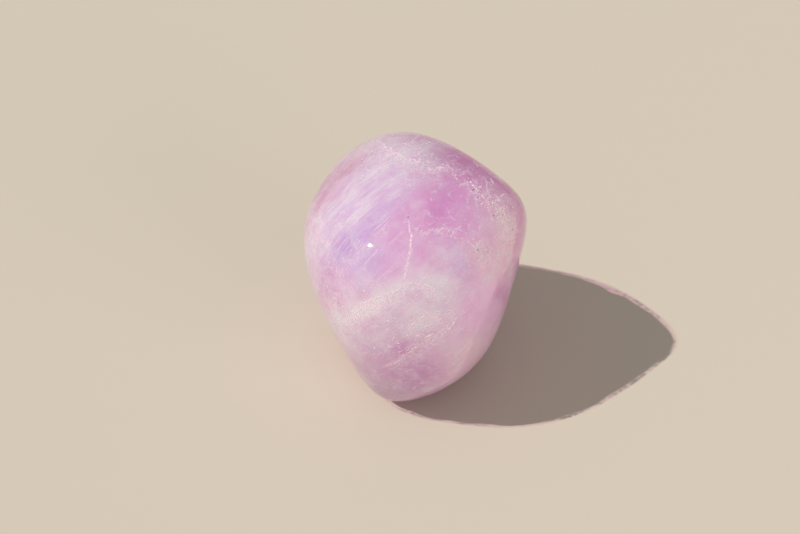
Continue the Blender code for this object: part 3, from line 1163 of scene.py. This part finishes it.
def grain_mesh(places, radii, draw):
    """Eight-sided grains: six points along three random square axes, each stretched at random."""
    first = unit(draw.normal(size=(len(places), 3)))
    second = unit(np.cross(first, draw.normal(size=(len(places), 3))))
    axes = np.stack([first, second, np.cross(first, second)], axis=1)
    axes = axes * radii[:, None, None] * draw.uniform(*GRAIN_STRETCH, (len(places), 3, 1))
    points = np.concatenate([places[:, None] + axes, places[:, None] - axes], axis=1).reshape(-1, 3)
    one = np.array([[0, 1, 2], [1, 3, 2], [3, 4, 2], [4, 0, 2], [1, 0, 5], [3, 1, 5], [4, 3, 5], [0, 4, 5]])
    return points, (one[None] + np.arange(len(places))[:, None, None] * GRAIN_CORNERS).reshape(-1, 3)


# %% Grains that are scattered
BELT_PATH = [(468, 181), (473, 187), (478, 195), (490, 202), (498, 208), (506, 218), (511, 230), (514, 244)]
BELT_GRAINS, BELT_SPREAD = 120, 0.42
LOOSE_GRAINS = 1500
PLACED_SIZE = 0.8  # the placed grains are drawn this much smaller than they look in the photograph
BELT_RADIUS, LOOSE_RADIUS = (0.03, 0.12), (0.012, 0.04)
GRAIN_COVER = 0.02  # mm of crystal over each grain
BELT_TINTS, BELT_TINT_SHARES = [WHITE, YELLOWISH, BROWN], [0.62, 0.34, 0.04]
LOOSE_TINTS, LOOSE_TINT_SHARES = [WHITE, BROWN], [0.97, 0.03]

grain_draw = np.random.default_rng(61)
belt_line = smooth_line(BELT_PATH, BELT_GRAINS)
belt_grains = onto_form(belt_line + BELT_SPREAD * grain_draw.normal(size=belt_line.shape))
loose_grains = onto_form(grain_draw.normal(size=(LOOSE_GRAINS, 3)))
loose_grains = loose_grains[loose_grains[:, 2] > -REST_DEPTH + REST_CLEARANCE]
placed = np.array(WHITE_GRAINS + YELLOWISH_GRAINS + DARK_GRAINS)
grain_places = np.concatenate([on_stone(placed[:, :2]), belt_grains, loose_grains])
grain_radii = np.concatenate(
    [
        placed[:, 2] * PLACED_SIZE,
        grain_draw.uniform(*BELT_RADIUS, len(belt_grains)),
        grain_draw.uniform(*LOOSE_RADIUS, len(loose_grains)),
    ]
)
belt_tints = grain_draw.choice(BELT_TINTS, len(belt_grains), p=BELT_TINT_SHARES)
loose_tints = grain_draw.choice(LOOSE_TINTS, len(loose_grains), p=LOOSE_TINT_SHARES)
tints = [WHITE] * len(WHITE_GRAINS) + [YELLOWISH] * len(YELLOWISH_GRAINS) + [DARK] * len(DARK_GRAINS)
grain_tints = np.array([linear(tint) for tint in [*tints, *belt_tints, *loose_tints]])
sunk = grain_places - surface_normal(grain_places) * (grain_radii + GRAIN_COVER)[:, None]
grain_points, grain_faces = grain_mesh(sunk, grain_radii, grain_draw)


def make_grain_material():
    """Broken crystal and grit: rough all over, so dull, and each grain in its own colour."""
    grain = new_material("chips_and_grains")
    tint = add_node(grain, "ShaderNodeAttribute", attribute_name="grain_colour").outputs["Color"]
    surface = add_node(grain, "ShaderNodeBsdfPrincipled", {"Base Color": tint, "Roughness": 0.4})
    add_node(grain, "ShaderNodeOutputMaterial", {"Surface": surface.outputs["BSDF"]})
    return grain


mesh_piece(
    "grains",
    grain_points,
    grain_faces,
    make_grain_material(),
    smooth=False,
    grain_colour=np.repeat(grain_tints, GRAIN_CORNERS, axis=0),
)

# %% [markdown]
# ## Floor and light
#
# A plain pale floor, one key light from the left as in the photograph, a low soft box on the other side
# that opens the shaded flank, and a pale room around it all. The key is a narrow sun, which gives the crisp
# shadow and the small glint of the photograph. A wider one would soften both.

# %% Floor
FLOOR_RADIUS, FLOOR_CORNERS = 3.0, 96
PALE_PAPER = "#D3CABB"


def make_floor():
    """A round sheet of matt pale paper, wide enough to fill every view."""
    material = new_material("pale_paper")
    surface = add_node(
        material,
        "ShaderNodeBsdfPrincipled",
        {"Base Color": (*linear(PALE_PAPER), 1.0), "Roughness": 0.9, "Specular IOR Level": 0.2},
    )
    add_node(material, "ShaderNodeOutputMaterial", {"Surface": surface.outputs["BSDF"]})
    form = bmesh.new()
    bmesh.ops.create_circle(form, cap_ends=True, segments=FLOOR_CORNERS, radius=FLOOR_RADIUS)
    mesh = bpy.data.meshes.new("floor")
    form.to_mesh(mesh)
    form.free()
    mesh.materials.append(material)
    floor = bpy.data.objects.new("floor", mesh)
    bpy.context.scene.collection.objects.link(floor)


make_floor()

# %% Lights
KEY_ELEVATION = math.radians(49.6)
KEY_AZIMUTH = math.radians(1.7)
KEY_STRENGTH, KEY_WARMTH = 2.65, (1.0, 0.97, 0.92)
KEY_WIDTH = math.radians(0.53)
key = bpy.data.objects.new("key_light", bpy.data.lights.new("key_light", "SUN"))
key.data.energy = KEY_STRENGTH
key.data.angle = KEY_WIDTH
key.data.color = KEY_WARMTH
key.rotation_euler = (0.0, -(math.pi / 2 - KEY_ELEVATION), KEY_AZIMUTH)
bpy.context.scene.collection.objects.link(key)

FILL_AZIMUTH, FILL_ELEVATION = -45, 12
FILL_DISTANCE, FILL_SIZE = 600, 0.4
FILL_POWER, FILL_WARMTH = 1.0, (1.0, 0.93, 0.88)
fill = bpy.data.objects.new("soft_box", bpy.data.lights.new("soft_box", "AREA"))
fill.data.size = FILL_SIZE
fill.data.energy = FILL_POWER
fill.data.color = FILL_WARMTH
fill.location = (outward(FILL_AZIMUTH, FILL_ELEVATION) * FILL_DISTANCE + MIDDLE) * MM
fill.rotation_euler = (
    math.pi / 2 - math.radians(FILL_ELEVATION),
    0.0,
    math.pi / 2 + math.radians(FILL_AZIMUTH),
)
fill.visible_camera = False
fill.visible_glossy = False
fill.visible_transmission = False
bpy.context.scene.collection.objects.link(fill)

# %% Room
ROOM_WHITE, WALL_WHITE = "#F4F0EE", "#DDD5C8"
ROOM_STRENGTH = 0.36


def make_room():
    """A dim pale room that lights the stone, and the paler wall that a low camera sees behind it."""
    world = bpy.data.worlds.new("pale_room")
    world.use_nodes = True
    world.node_tree.nodes.clear()
    room = add_node(
        world, "ShaderNodeBackground", {"Color": (*linear(ROOM_WHITE), 1.0), "Strength": ROOM_STRENGTH}
    )
    wall = add_node(world, "ShaderNodeBackground", {"Color": (*linear(WALL_WHITE), 1.0), "Strength": 1.0})
    rays = add_node(world, "ShaderNodeLightPath").outputs
    either = add_node(
        world,
        "ShaderNodeMixShader",
        {0: rays["Is Camera Ray"], 1: room.outputs["Background"], 2: wall.outputs["Background"]},
    )
    add_node(world, "ShaderNodeOutputWorld", {"Surface": either.outputs["Shader"]})
    return world


bpy.context.scene.world = make_room()
bpy.context.scene.view_settings.view_transform = "Standard"

# A line of sight can cross many thin threads, and by default it goes black after the eighth
TRANSPARENT_LAYERS = 64
bpy.context.scene.cycles.transparent_max_bounces = TRANSPARENT_LAYERS
